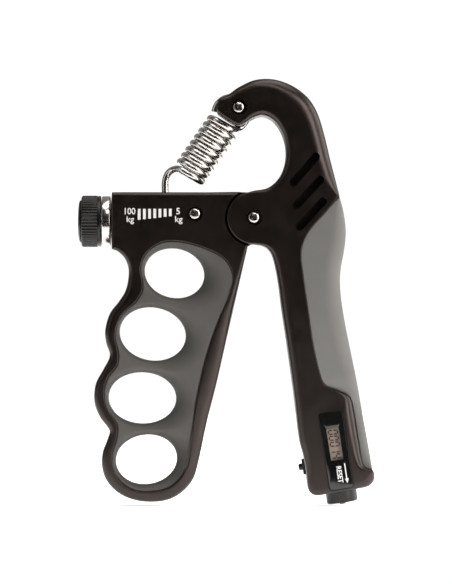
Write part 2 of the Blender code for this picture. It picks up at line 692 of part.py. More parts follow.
def counter_front():
    window = slab(
        "counter_window", counter, rounded_rectangle(*WINDOW, 1.3), -10.4, -9.2, "gloss_black",
        edge=0.25, curved=False,
    )
    cut(window, box("window_opening", counter, LCD[0], (-20, 0), LCD[1]))
    box("lcd_panel", counter, (LCD[0][0] - 0.5, LCD[0][1] + 0.5), (-8.9, -7.4),
        (LCD[1][0] - 0.5, LCD[1][1] + 0.5), "lcd")
    box("counter_board", counter, (BAY_X[0] + GAP, BAY_X[1] - GAP), (-6.9, -5.7),
        (-8.8, BAY_Z[1] - GAP), "board")


def battery():
    turned(
        "button_cell", counter, "Y", (-0.3, -5.4, 5.6),
        [(0, 5.4), (5.4, 5.4), (5.8, 5.0), (5.8, 1.0), (5.0, 0.6), (5.0, 0), (0, 0)],
        "steel", sides=28,
    )
    strip = [
        (-5.4, -1.4), (0.8, -1.4), (0.8, 12.7), (-5.4, 12.7),
        (-5.4, 12.2), (0.3, 12.2), (0.3, -0.9), (-5.4, -0.9),
    ]
    slab("battery_clip", counter, strip, -2.3, 1.7, "steel", curved=False, facing=FACING_SIDE)


def switches():
    count = box("count_switch", counter, (-4.8, -1.8), (-5.4, 2.0), (-6.9, -2.5), "gloss_black")
    cut(count, rod("count_dimple", counter, "X", (0, 0, PLUNGER_Z), 1.2, -9, -4.5, sides=16))
    reset = box("reset_switch", counter, (-1.4, 2.1), (-5.4, 2.0), (-7.2, -4.2), "gloss_black")
    cut(reset, rod("reset_dimple", counter, "Z", (BUTTON_X, 0, 0), 1.4, -9, -6.9, sides=16))


def plunger():
    """The count plunger slides along the bay's x. The finger handle pushes it at full squeeze."""
    turned(
        "count_plunger", counter, "X", (0, 0, PLUNGER_Z),
        [(0, -6.3), (0.9, -6.3), (0.9, -7.2), (2.1, -7.2), (2.1, -7.9), (PLUNGER_R, -7.9),
         (PLUNGER_R, -14.2), (1.0, -14.7), (0, -14.7)],
        "black_shell", sides=20,
    )
    bezel = box(
        "plunger_bezel", counter, (INNER_EDGE - 0.8, -11.7), (-3.5, 3.5),
        (PLUNGER_Z - 3.05, PLUNGER_Z + 3.05), "nickel",
    )
    cut(bezel, rod("bezel_hole", counter, "X", (0, 0, PLUNGER_Z), PLUNGER_R + GAP, -30, 0, sides=20))


def reset_button():
    turned(
        "reset_button", counter, "Z", (BUTTON_X, 0, 0),
        [(0, -8.7), (1.5, -8.7), (1.5, -10.3), (6.75, -10.3), (6.75, -11.3), (BUTTON_R, -11.3),
         (BUTTON_R, -20.3), (5.5, -20.9), (1.3, -20.9), (1.1, -21.5), (0, -21.5)],
        "knob_plastic", sides=28,
    )


def rear_cover():
    outline = rounded_rectangle(COVER_X, COVER_Z, 1.5)
    cover = slab("rear_cover", counter, outline, COVER_SEAT + GAP, 10.3, "black_shell", edge=0.3, curved=False)
    for side, x in SCREW_SPOTS.items():
        at = (x, 0, COVER_SCREW_Z)
        cut(
            cover,
            rod(f"cover_hole_{side}", counter, "Y", at, 1.2, 0, 20, sides=16),
            rod(f"cover_sink_{side}", counter, "Y", at, 2.0, 9.5, 20, sides=20),
        )
        turned(
            f"cover_screw_{side}", counter, "Y", at,
            [(0, 10.3), (1.7, 10.3), (1.7, 9.8), (0.9, 9.8), (0.9, 4.5), (0.5, 3.9), (0, 3.9)],
            "steel", sides=16,
        )


finger_frame()
finger_grip_insert()
finger_fittings()
knob()
knob_pieces()
carriage()
spring()
palm_frame()
palm_grip_pad()
palm_fittings()
counter_front()
battery()
switches()
plunger()
reset_button()
rear_cover()
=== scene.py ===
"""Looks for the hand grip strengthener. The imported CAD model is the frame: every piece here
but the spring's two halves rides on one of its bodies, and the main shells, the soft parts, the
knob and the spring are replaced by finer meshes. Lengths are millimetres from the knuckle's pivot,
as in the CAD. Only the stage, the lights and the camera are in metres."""

import json
import math

import bmesh
import bpy
import numpy as np
from mathutils import Matrix, Vector
from mathutils.geometry import delaunay_2d_cdt

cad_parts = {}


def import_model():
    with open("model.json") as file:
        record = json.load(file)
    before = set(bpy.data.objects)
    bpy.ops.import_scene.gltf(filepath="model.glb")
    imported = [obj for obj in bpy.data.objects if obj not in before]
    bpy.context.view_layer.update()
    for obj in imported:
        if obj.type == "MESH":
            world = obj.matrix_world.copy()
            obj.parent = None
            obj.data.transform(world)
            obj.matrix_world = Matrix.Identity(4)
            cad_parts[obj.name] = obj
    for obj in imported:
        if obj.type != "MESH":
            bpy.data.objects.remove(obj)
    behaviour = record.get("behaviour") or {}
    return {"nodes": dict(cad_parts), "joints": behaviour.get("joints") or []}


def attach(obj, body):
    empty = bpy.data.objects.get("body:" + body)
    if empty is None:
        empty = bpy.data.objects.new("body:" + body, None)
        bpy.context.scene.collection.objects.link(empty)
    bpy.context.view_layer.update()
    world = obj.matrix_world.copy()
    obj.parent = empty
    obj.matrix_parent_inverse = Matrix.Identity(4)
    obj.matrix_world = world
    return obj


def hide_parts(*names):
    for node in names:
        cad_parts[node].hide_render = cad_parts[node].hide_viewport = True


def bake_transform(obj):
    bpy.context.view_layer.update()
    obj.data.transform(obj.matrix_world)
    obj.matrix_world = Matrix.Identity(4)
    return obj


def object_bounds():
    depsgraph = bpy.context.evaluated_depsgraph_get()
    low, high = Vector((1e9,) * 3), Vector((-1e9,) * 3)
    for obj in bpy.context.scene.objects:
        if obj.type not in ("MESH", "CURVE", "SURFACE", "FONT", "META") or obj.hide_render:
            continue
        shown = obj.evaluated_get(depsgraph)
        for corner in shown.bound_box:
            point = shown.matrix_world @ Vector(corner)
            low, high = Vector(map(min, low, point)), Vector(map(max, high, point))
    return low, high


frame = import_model()
cad_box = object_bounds()

MM = 0.001
JOINTS = {joint["name"]: joint for joint in frame["joints"]}
PIVOT = Vector(JOINTS["palm_squeeze"]["pos_m"])
HALF_DEPTH = 10.5

# The counter bay leans with the palm handle. In its own axes x runs across, z runs up.
BAY = Matrix.Translation((31.4, 0, -91.0)) @ Matrix.Rotation(math.radians(-8.7), 4, "Y")


# ---------------------------------------------------------------- materials

def shader_of(name):
    material = bpy.data.materials.new(name)
    material.use_nodes = True
    return material, material.node_tree, material.node_tree.nodes["Principled BSDF"]


def noise(tree, scale, detail=3.0, rough=0.55, stretch=(1, 1, 1)):
    """Noise over the object's own coordinates, in metres."""
    place = tree.nodes.new("ShaderNodeTexCoord")
    spread = tree.nodes.new("ShaderNodeMapping")
    spread.inputs["Scale"].default_value = stretch
    texture = tree.nodes.new("ShaderNodeTexNoise")
    texture.inputs["Scale"].default_value = scale
    texture.inputs["Detail"].default_value = detail
    texture.inputs["Roughness"].default_value = rough
    tree.links.new(place.outputs["Object"], spread.inputs["Vector"])
    tree.links.new(spread.outputs["Vector"], texture.inputs["Vector"])
    return texture.outputs["Fac"]


def ramp(tree, value, low, high):
    """Maps a noise value, which lies mostly near 0.5, to a colour or a grey from low to high."""
    mix = tree.nodes.new("ShaderNodeValToRGB")
    mix.color_ramp.elements[0].position = 0.35
    mix.color_ramp.elements[1].position = 0.65
    for element, colour in zip(mix.color_ramp.elements, (low, high)):
        element.color = (*colour, 1) if isinstance(colour, tuple) else (colour, colour, colour, 1)
    tree.links.new(value, mix.inputs["Fac"])
    return mix.outputs["Color"]


def bump(tree, shader, value, depth):
    """Raises the surface by depth, in millimetres, where value is 1."""
    node = tree.nodes.new("ShaderNodeBump")
    node.inputs["Strength"].default_value = 1.0
    node.inputs["Distance"].default_value = depth * MM
    tree.links.new(value, node.inputs["Height"])
    tree.links.new(node.outputs["Normal"], shader.inputs["Normal"])


def moulded(name, dark, light, roughness, grain=2600, grain_depth=0.012, specular=0.5, tint=(1, 1, 1)):
    """Moulded plastic or rubber: slow colour drift, patchy gloss and a fine spark-eroded grain."""
    material, tree, shader = shader_of(name)
    tree.links.new(ramp(tree, noise(tree, 45), dark, light), shader.inputs["Base Color"])
    patches = ramp(tree, noise(tree, 160, 4), roughness[0], roughness[1])
    tree.links.new(patches, shader.inputs["Roughness"])
    shader.inputs["Specular IOR Level"].default_value = specular
    shader.inputs["Specular Tint"].default_value = (*tint, 1)
    bump(tree, shader, noise(tree, grain, 2), grain_depth)
    return material


def metal(name, dark, light, roughness, stretch=(1, 1, 1), scale=900, depth=0.004):
    """Bare metal with faint drawing or grinding marks."""
    material, tree, shader = shader_of(name)
    shader.inputs["Metallic"].default_value = 1.0
    marks = noise(tree, scale, 3, 0.6, stretch)
    tree.links.new(ramp(tree, marks, dark, light), shader.inputs["Base Color"])
    tree.links.new(ramp(tree, marks, roughness[0], roughness[1]), shader.inputs["Roughness"])
    bump(tree, shader, marks, depth)
    return material


def lcd_glass():
    material, tree, shader = shader_of("lcd_glass")
    tree.links.new(
        ramp(tree, noise(tree, 90, 2), (0.205, 0.165, 0.130), (0.240, 0.195, 0.155)),
        shader.inputs["Base Color"],
    )
    tree.links.new(ramp(tree, noise(tree, 700, 2), 0.30, 0.42), shader.inputs["Roughness"])
    return material


WARM = (1.0, 0.84, 0.78)  # tint of the black plastic's highlights
RUBBER_GRAIN = 2200
RUBBER_GRAIN_DEPTH = 0.016
RUBBER_SPECULAR = 0.35
BLACK = moulded(
    "black_plastic", (0.0030, 0.0021, 0.0018), (0.0046, 0.0032, 0.0028), (0.29, 0.37),
    specular=0.50, tint=WARM,
)
KNOB = moulded(
    "knob_plastic", (0.0030, 0.0026, 0.0025), (0.0045, 0.0039, 0.0037), (0.26, 0.34), 3000,
    specular=0.36,
)
FINGER = moulded(
    "finger_rubber", (0.066, 0.063, 0.058), (0.074, 0.071, 0.066), (0.58, 0.70),
    RUBBER_GRAIN, RUBBER_GRAIN_DEPTH, RUBBER_SPECULAR,
)
PAD = moulded(
    "pad_rubber", (0.126, 0.125, 0.120), (0.137, 0.136, 0.131), (0.55, 0.66),
    RUBBER_GRAIN, RUBBER_GRAIN_DEPTH, RUBBER_SPECULAR,
)
GLOSS = moulded("gloss_black", (0.004, 0.004, 0.004), (0.007, 0.007, 0.007), (0.05, 0.10), 60, 0.003)
NYLON = moulded("natural_nylon", (0.52, 0.50, 0.45), (0.60, 0.58, 0.52), (0.42, 0.55))
BOARD = moulded("board_green", (0.010, 0.070, 0.030), (0.020, 0.105, 0.045), (0.35, 0.50), 1200)
INK = moulded("white_ink", (0.70, 0.70, 0.69), (0.80, 0.80, 0.79), (0.45, 0.60), 4000, 0.004)
SEGMENT = moulded("lcd_segment", (0.020, 0.016, 0.014), (0.032, 0.026, 0.022), (0.30, 0.40), 900, 0.002)
FERRULE = metal("ferrule_chrome", (0.50, 0.455, 0.44), (0.56, 0.515, 0.50), (0.16, 0.24))
WIRE = metal("spring_wire", (0.56, 0.535, 0.51), (0.66, 0.635, 0.61), (0.20, 0.30), depth=0.002)
NICKEL = metal("nickel", (0.42, 0.39, 0.37), (0.56, 0.53, 0.50), (0.16, 0.28))
STEEL = metal("ground_steel", (0.40, 0.40, 0.39), (0.52, 0.52, 0.51), (0.24, 0.38), (1, 12, 12), 500)
BRASS = metal("brass", (0.50, 0.35, 0.13), (0.64, 0.47, 0.20), (0.22, 0.34))
LCD = lcd_glass()


# ---------------------------------------------------------------- mesh tools

def finish_piece(name, shape, material, body, smooth_angle=35, transform=None):
    """Turns a bmesh in millimetres from the pivot into a piece that rides on a body."""
    if transform is not None:
        bmesh.ops.transform(shape, matrix=transform, verts=shape.verts)
    bmesh.ops.scale(shape, vec=(MM, MM, MM), verts=shape.verts)
    bmesh.ops.translate(shape, vec=PIVOT, verts=shape.verts)
    mesh = bpy.data.meshes.new(name)
    shape.to_mesh(mesh)
    shape.free()
    mesh.shade_smooth()
    if smooth_angle:
        mesh.set_sharp_from_angle(angle=math.radians(smooth_angle))
    piece = bpy.data.objects.new(name, mesh)
    bpy.context.scene.collection.objects.link(piece)
    if material is not None:
        mesh.materials.append(material)
    if body is not None:
        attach(piece, body)
    return piece


def replace(piece, slot, *nodes):
    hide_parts(*nodes)


LOOP_SPACING = 0.9  # between the points of a smooth loop


def smooth_loop(knots):
    """A closed loop through its knots, each (x, z, edge radius). Knots marked with a fourth
    value are corners, where the loop's direction changes at once."""
    knots = [tuple(map(float, knot[:3])) + (len(knot) > 3,) for knot in knots]
    count = len(knots)
    found = []
    for i in range(count):
        before, start, end, after = (knots[(i + k) % count] for k in (-1, 0, 1, 2))
        p0, p1, p2, p3 = (np.array(knot[:3]) for knot in (before, start, end, after))
        chord = p2 - p1
        slope_in = chord if start[3] else (p2 - p0) * np.linalg.norm(chord[:2]) / (
            np.linalg.norm((p1 - p0)[:2]) + np.linalg.norm(chord[:2]))
        slope_out = chord if end[3] else (p3 - p1) * np.linalg.norm(chord[:2]) / (
            np.linalg.norm((p3 - p2)[:2]) + np.linalg.norm(chord[:2]))
        steps = max(1, round(np.linalg.norm(chord[:2]) / LOOP_SPACING))
        for t in np.arange(steps) / steps:
            found.append(
                (2 * t**3 - 3 * t**2 + 1) * p1 + (t**3 - 2 * t**2 + t) * slope_in
                + (3 * t**2 - 2 * t**3) * p2 + (t**3 - t**2) * slope_out
            )
    return np.array(found)


def inside(points, loop):
    """Which points lie in a closed loop, by counting crossings."""
    found = np.zeros(len(points), bool)
    for a, b in zip(loop, np.roll(loop, -1, axis=0)):
        spans = (a[1] > points[:, 1]) != (b[1] > points[:, 1])
        rise = b[1] - a[1] if b[1] != a[1] else 1e-12
        found ^= spans & (points[:, 0] < (b[0] - a[0]) * (points[:, 1] - a[1]) / rise + a[0])
    return found


def inward_normals(loop, hole):
    """Unit normals that point into the material."""
    ahead = np.roll(loop, -1, axis=0) - loop
    behind = loop - np.roll(loop, 1, axis=0)
    ahead /= np.linalg.norm(ahead, axis=1)[:, None]
    behind /= np.linalg.norm(behind, axis=1)[:, None]
    along = ahead + behind
    along /= np.linalg.norm(along, axis=1)[:, None]
    area = np.sum(loop[:, 0] * np.roll(loop[:, 1], -1) - np.roll(loop[:, 0], -1) * loop[:, 1])
    side = np.sign(area) * (-1 if hole else 1)
    return np.column_stack((-along[:, 1], along[:, 0])) * side


CREASE_FROM = 3.2  # rim radius above which a creased rim starts to turn into a facet
CREASE_OVER = 1.4  # how much more radius makes it a full facet


def shell(loops, half_depth=HALF_DEPTH, rings=6, relief=None, grid=None, crease=False):
    """A flat body with rounded rims, from an outer loop and any hole loops of (x, z, radius).
    relief(points) gives how far each face sinks, and grid is the spacing of the points that
    carry it. With crease, a wide outer rim is a sloping facet that meets the face at an edge."""
    shape = bmesh.new()
    inner, walls = [], []
    for index, loop in enumerate(loops):
        outline, radius = loop[:, :2], loop[:, 2:3]
        normals = inward_normals(outline, index > 0)
        rows = []
        for step in range(rings + 1):
            wide = np.clip((radius - CREASE_FROM) / CREASE_OVER, 0, 1)
            slope = wide if crease and index == 0 else 0 * radius
            end = math.pi / 2 - slope * math.radians(38)
            angle = end * step / rings
            at = outline + normals * radius * (1 - np.cos(angle)) / (1 - np.cos(end))
            drop = (1 - 0.45 * slope) * (1 - np.sin(angle) / np.sin(end))
            depth = half_depth - (radius * drop)[:, 0]
            rows.append((at, depth))
        walls.append(rows)
        inner.append(rows[-1][0])
    points = [tuple(p) for ring in inner for p in ring]
    edges, start = [], 0
    for ring in inner:
        edges += [(start + i, start + (i + 1) % len(ring)) for i in range(len(ring))]
        start += len(ring)
    if grid:
        low, high = inner[0].min(axis=0), inner[0].max(axis=0)
        across, up = np.arange(low[0], high[0], grid), np.arange(low[1], high[1], grid * 0.87)
        mesh_x, mesh_z = np.meshgrid(across, up)
        mesh_x[::2] += grid / 2
        free = np.column_stack((mesh_x.ravel(), mesh_z.ravel()))
        keep = inside(free, inner[0])
        for ring in inner[1:]:
            keep &= ~inside(free, ring)
        for ring in inner:
            gap = np.full(len(free), np.inf)
            for p in ring:
                gap = np.minimum(gap, np.hypot(*(free - p).T))
            keep &= gap > grid * 0.5
        points += [tuple(p) for p in free[keep]]
    flat, _, faces, *_ = delaunay_2d_cdt([Vector(p) for p in points], edges, [], 0, 1e-7)
    centres = np.array([np.mean([flat[i] for i in face], axis=0) for face in faces])
    keep = inside(centres, inner[0])
    for ring in inner[1:]:
        keep &= ~inside(centres, ring)
    flat_at = np.array([tuple(p) for p in flat])
    sunk = relief(flat_at) if relief else np.zeros(len(flat_at))
    for side in (-1, 1):
        caps = [shape.verts.new((p[0], side * (half_depth - d), p[1])) for p, d in zip(flat_at, sunk)]
        for face, wanted in zip(faces, keep):
            if wanted:
                shape.faces.new([caps[i] for i in face])
    for rows in walls:
        ladder = []
        for side, order in ((-1, rows[::-1]), (1, rows)):
            for at, depth in order:
                sunk_here = relief(at) if relief else np.zeros(len(at))
                ladder.append([
                    shape.verts.new((p[0], side * (d - s), p[1])) for p, d, s in zip(at, depth, sunk_here)
                ])
        for upper, lower in zip(ladder, ladder[1:]):
            for i in range(len(upper)):
                k = (i + 1) % len(upper)
                shape.faces.new((upper[i], upper[k], lower[k], lower[i]))
    bmesh.ops.remove_doubles(shape, verts=shape.verts, dist=1e-4)
    bmesh.ops.dissolve_degenerate(shape, edges=shape.edges, dist=1e-5)
    bmesh.ops.recalc_face_normals(shape, faces=shape.faces)
    return shape


def block(x, y, z):
    shape = bmesh.new()
    bmesh.ops.create_cube(shape, size=1)
    bmesh.ops.scale(shape, vec=[high - low for low, high in (x, y, z)], verts=shape.verts)
    bmesh.ops.translate(shape, vec=[(low + high) / 2 for low, high in (x, y, z)], verts=shape.verts)
    return shape


AXES = {
    "X": Matrix.Rotation(math.pi / 2, 4, "Y"),
    "Y": Matrix.Rotation(-math.pi / 2, 4, "X"),
    "Z": Matrix.Identity(4),
}


def turned(profile, axis, at, sides=64):
    """A turned body from its (radius, height) profile, closed on the axis or into a ring."""
    shape = bmesh.new()
    rows = []
    for radius, height in profile:
        if radius < 1e-6:
            rows.append([shape.verts.new((0, 0, height))] * sides)
        else:
            rows.append([
                shape.verts.new((
                    radius * math.cos(2 * math.pi * i / sides),
                    radius * math.sin(2 * math.pi * i / sides), height,
                )) for i in range(sides)
            ])
    closed = profile[0][0] > 1e-6
    pairs = list(zip(rows, rows[1:])) + ([(rows[-1], rows[0])] if closed else [])
    for upper, lower in pairs:
        for i in range(sides):
            k = (i + 1) % sides
            corners = list(dict.fromkeys((upper[i], upper[k], lower[k], lower[i])))
            if len(corners) > 2:
                shape.faces.new(corners)
    bmesh.ops.recalc_face_normals(shape, faces=shape.faces)
    bmesh.ops.transform(shape, matrix=Matrix.Translation(at) @ AXES[axis], verts=shape.verts)
    return shape


def drum(axis, at, radius, low, high, sides=64):
    return turned([(0, high), (radius, high), (radius, low), (0, low)], axis, at, sides)


def prism(outline, low, high):
    """A straight-sided body from an (x, z) outline."""
    shape = bmesh.new()
    front = [shape.verts.new((x, low, z)) for x, z in outline]
    back = [shape.verts.new((x, high, z)) for x, z in outline]
    shape.faces.new(front)
    shape.faces.new(back[::-1])
    for i in range(len(outline)):
        k = (i + 1) % len(outline)
        shape.faces.new((front[i], back[i], back[k], front[k]))
    bmesh.ops.recalc_face_normals(shape, faces=shape.faces)
    return shape


def carve(piece, cutters, operation="DIFFERENCE"):
    """Cuts the shapes out of a piece for good, or joins them to it, one after the other."""
    for number, cutter in enumerate(cutters):
        tool = finish_piece(f"cutter_{number}", cutter, None, None)
        step = piece.modifiers.new("carve", "BOOLEAN")
        step.operation = operation
        step.object = tool
        graph = bpy.context.evaluated_depsgraph_get()
        mesh = bpy.data.meshes.new_from_object(piece.evaluated_get(graph))
        piece.modifiers.remove(step)
        old = piece.data
        piece.data = mesh
        bpy.data.meshes.remove(old)
        bpy.data.objects.remove(tool)


def crisp(piece):
    """Sharpens the cut edges, and keeps flat faces flat where they meet rounded rims."""
    piece.data.shade_smooth()
    piece.data.set_sharp_from_angle(angle=math.radians(30))
    weights = piece.modifiers.new("weights", "WEIGHTED_NORMAL")
    weights.keep_sharp = True
    weights.weight = 80


def stadium(start, end, radius, steps=10):
    heading = math.atan2(end[1] - start[1], end[0] - start[0])
    found = []
    for centre, base in ((end, heading - math.pi / 2), (start, heading + math.pi / 2)):
        for i in range(steps + 1):
            angle = base + math.pi * i / steps
            found.append((centre[0] + radius * math.cos(angle), centre[1] + radius * math.sin(angle)))
    return found


def rounded_rectangle(x, z, radius, steps=6):
    found = []
    corners = ((x[1] - radius, z[1] - radius, 0), (x[0] + radius, z[1] - radius, 90),
               (x[0] + radius, z[0] + radius, 180), (x[1] - radius, z[0] + radius, 270))
    for centre_x, centre_z, start in corners:
        for i in range(steps + 1):
            angle = math.radians(start + 90 * i / steps)
            found.append((centre_x + radius * math.cos(angle), centre_z + radius * math.sin(angle)))
    return found


def ellipse_loop(x, z, half_width, half_height, tilt, radius):
    found = []
    count = 72
    for i in range(count):
        angle = 2 * math.pi * i / count
        across, up = half_width * math.cos(angle), half_height * math.sin(angle)
        found.append((
            x + across * math.cos(tilt) + up * math.sin(tilt),
            z - across * math.sin(tilt) + up * math.cos(tilt), radius,
        ))
    return np.array(found)


# ---------------------------------------------------------------- finger handle

CORNER = True
RINGS = (
    (-31.2, -21.7, 11.85, 9.65, math.radians(13)), (-39.75, -45.6, 13.1, 10.45, math.radians(9)),
    (-43.8, -70.65, 13.35, 10.2, math.radians(0.5)), (-42.2, -94.8, 12.1, 9.9, math.radians(-11)),
)
TONGUE = 5.7  # half thickness between the palm handle's cheeks
KNUCKLE_CUT_R = 11.3
SCREW_Z = -1.3
CHAMBER = ((-47.5, -20.5), (-4.9, 4.9), (-7.0, 20))
STOP_RIVET = (-23.1, 1.5)

# Clockwise from the head's top left corner, each with the radius of the rim there
FINGER_LOOP = [
    (-55.4, 9.9, 1.2, CORNER), (-50, 9.95, 1.6), (-20, 9.9, 1.6), (-1.0, 9.85, 1.6),
    (4.8, 8.3, 1.2), (8.3, 4.8, 1.0), (9.6, 0, 1.0), (8.3, -4.8, 1.0), (4.8, -8.3, 1.0), (0.8, -9.6, 1.0),
    (-2.4, -11.2, 1.2, CORNER), (-4.2, -19.0, 1.6), (-6.3, -28.3, 2.6), (-10.8, -48.0, 4.4),
    (-14.5, -64.4, 5.0), (-18.2, -79.2, 5.0), (-21.9, -96.4, 4.4), (-23.7, -102.1, 3.8),
    (-27.5, -106.8, 3.2), (-33.1, -110.1, 3.0), (-40.4, -111.1, 3.0), (-47.8, -110.0, 3.0),
    (-53.6, -107.1, 2.8), (-57.7, -102.5, 2.6), (-59.4, -97.2, 2.4), (-59.1, -91.7, 2.2),
    (-57.3, -86.8, 2.0), (-56.4, -83.4, 2.0), (-57.9, -80.9, 2.0), (-60.0, -78.2, 2.0),
    (-61.9, -73.8, 2.2), (-62.4, -69.6, 2.4), (-61.6, -64.4, 2.4), (-58.6, -58.9, 2.2),
    (-56.3, -53.9, 2.0), (-57.7, -49.0, 2.2), (-58.1, -44.0, 2.4), (-56.3, -37.5, 2.6),
    (-52.8, -32.8, 2.8), (-50.4, -29.0, 2.8), (-49.2, -24.7, 2.6), (-49.0, -20.0, 2.2),
    (-50.5, -15.9, 1.8), (-53.2, -13.2, 1.4), (-55.5, -12.3, 1.2, CORNER), (-55.8, -5, 1.2),
    (-55.8, 5, 1.2),
]
INSERT_KNOTS = [
    (-44.4, -19.8), (-42.2, -14.0), (-36.3, -9.8), (-29.7, -9.2), (-20.0, -11.6), (-11.6, -16.0),
    (-8.2, -22.0), (-8.8, -29.1), (-13.3, -39.0), (-18.2, -52.9), (-22.0, -69.0), (-23.8, -81.5),
    (-24.9, -91.5), (-26.6, -98.2), (-32.0, -104.7), (-39.5, -106.8), (-47.2, -106.2),
    (-53.2, -101.6), (-55.4, -94.0), (-53.6, -86.0), (-53.4, -81.0), (-56.9, -75.2),
    (-58.5, -69.2), (-57.2, -62.8), (-53.5, -57.8), (-52.9, -53.6), (-54.2, -45.5), (-51.9, -38.6),
    (-46.4, -33.1), (-43.6, -28.6), (-43.6, -24.2),
]
LAP = 0.05  # how far the soft parts' walls run into the frames', so that no light shows through
INSERT_FACE = 10.0


def rivet_seat(at):
    """Cutters for the hole and the two counterbores round a rivet."""
    place_at = (at[0], 0, at[1])
    profile_front = [(0, -9.3), (2.75, -9.3), (3.15, -10.15), (3.4, -20), (0, -20)]
    profile_rear = [(0, 20), (3.4, 20), (3.15, 10.15), (2.75, 9.3), (0, 9.3)]
    return [
        turned(profile_front, "Y", place_at), turned(profile_rear, "Y", place_at),
        drum("Y", place_at, 1.8, -20, 20, 32),
    ]


def finger_frame():
    outer = smooth_loop(FINGER_LOOP)
    insert = smooth_loop([(*knot, 0.5) for knot in INSERT_KNOTS])
    insert[:, :2] += inward_normals(insert[:, :2], False) * LAP
    piece = finish_piece("finger_frame_shell", shell([outer, insert], crease=True), BLACK, "finger_handle")
    knuckle = [
        (0, TONGUE), (KNUCKLE_CUT_R, TONGUE), (KNUCKLE_CUT_R, 10.2), (KNUCKLE_CUT_R + 0.3, 10.6),
        (KNUCKLE_CUT_R + 0.3, 20), (0, 20),
    ]
    carve(piece, [
        turned([(r, -y) for r, y in knuckle], "Y", (0, 0, 0), 128),
        turned([(r, y) for r, y in knuckle[::-1]], "Y", (0, 0, 0), 128),
        block(*CHAMBER),
        drum("X", (0, 0, SCREW_Z), 2.3, -70, -46, 32),
        drum("Y", (0, 0, 0), 3.7, -20, 20, 48),
        *rivet_seat(STOP_RIVET),
    ])
    boss = [(5.0, -55), (5.0, -58.5), (2.3, -58.5), (2.3, -55)]
    carve(piece, [turned(boss, "X", (0, 0, SCREW_Z), 48)], "UNION")
    crisp(piece)
    replace(piece, "black_shell", "finger_frame")


def dish(points):
    """How far the insert's face sinks: a long scoop on the palm side of each ring, and a
    short roll on the other sides."""
    deepest = np.zeros(len(points))
    for x, z, half_width, half_height, tilt in RINGS:
        away = points - (x, z)
        across = away[:, 0] * math.cos(tilt) - away[:, 1] * math.sin(tilt)
        up = away[:, 0] * math.sin(tilt) + away[:, 1] * math.cos(tilt)
        reach = np.hypot(across / half_width, up / half_height)
        angle = np.arctan2(up / half_height, across / half_width)
        beyond = (reach - 1) * (half_width * np.cos(angle) ** 2 + half_height * np.sin(angle) ** 2)
        palm_side = np.clip(np.cos(angle + 0.12), 0, 1) ** 1.3
        width = 2.6 + 7.0 * palm_side
        depth = 1.6 + 4.2 * palm_side
        fall = np.clip(1 - np.maximum(beyond, 0) / width, 0, 1)
        deepest = np.maximum(deepest, depth * fall**2.2)
    return deepest


def finger_insert():
    outer = smooth_loop([(*knot, 0.7) for knot in INSERT_KNOTS])
    holes = [ellipse_loop(*ring, 0.9) for ring in RINGS]
    shape = shell([outer, *holes], INSERT_FACE, 5, dish, 0.9)
    piece = finish_piece("finger_grip_insert_skin", shape, FINGER, "finger_handle", None)
    replace(piece, "finger_rubber", "finger_grip_insert")


def rivet(name, at, body, shank, node):
    dome = [(2.18 * math.cos(a), -9.6 - 0.8 * math.sin(a)) for a in np.linspace(0.05, 1.5, 14)]
    tail = [(1.9 * math.sin(a), 9.9 + 0.4 * math.cos(a)) for a in np.linspace(0.2, 1.4, 6)]
    profile = [(0, 10.3), *tail, (2.0, 9.6), (shank, 9.6), (shank, -9.55), (2.18, -9.55), *dome, (0, -10.4)]
    piece = finish_piece(name, turned(profile, "Y", (at[0], 0, at[1]), 48), NICKEL, body)
    replace(piece, "nickel", node)


# ---------------------------------------------------------------- palm handle

PALM_LOOP = [
    *[(10.5 * math.cos(math.radians(a)), 10.5 * math.sin(math.radians(a)), 0.7)
      for a in range(125, 285, 15)],
    (5.0, -11.9, 1.6), (7.3, -15.2, 2.4), (9.4, -24.6, 3.0), (10.9, -36.1, 3.2),
    (12.8, -48.8, 3.2), (15.6, -69.3, 3.0), (17.7, -87.0, 2.8), (19.3, -93.1, 2.6),
    (20.3, -98.6, 2.6), (20.8, -104.0, 2.4), (21.6, -107.0, 2.2), (24.0, -108.5, 2.0),
    (29.0, -107.9, 2.0), (40.9, -105.9, 2.6), (45.0, -104.9, 3.2), (47.0, -102.6, 3.4),
    (47.1, -99.8, 2.2), (46.5, -98.6, 0.5, CORNER), (44.4, -98.35, 0.5), (42.6, -96.4, 2.6),
    (40.8, -86.4, 4.0), (38.9, -75.2, 4.0), (37.2, -69.9, 2.6), (32.4, -67.5, 0.6),
    (27.8, -65.5, 0.4), (25.6, -60.2, 0.35), (23.0, -48.7, 0.35), (21.2, -36.1, 0.35),
    (19.3, -22.9, 0.35), (18.5, -12.6, 0.35), (21.4, -5.4, 0.35), (26.9, 0.9, 0.35),
    (31.0, 5.6, 0.5), (33.4, 8.5, 1.0, CORNER), (31.9, 14.9, 4.4), (30.0, 22.4, 5.4),
    (27.3, 33.6, 5.8), (24.7, 41.5, 6.0), (21.1, 47.1, 6.0), (15.2, 51.6, 5.4), (8.0, 54.1, 4.4),
    (0.6, 53.9, 3.6), (-6.0, 51.0, 3.2), (-9.6, 48.4, 2.4), (-13.0, 46.7, 1.4), (-14.0, 45.7, 1.1),
    (-14.6, 42.4, 1.1), (-13.9, 40.7, 1.2), (-6.9, 36.0, 1.4), (-5.2, 36.0, 1.4),
    (-3.4, 36.9, 1.8), (-0.4, 38.9, 2.2), (3.4, 39.9, 2.6), (7.6, 37.9, 2.8), (10.9, 33.1, 2.8),
    (12.5, 27.1, 2.8), (12.1, 21.0, 2.8), (9.7, 15.4, 2.4), (5.4, 11.6, 1.8), (-0.4, 10.4, 1.0),
]
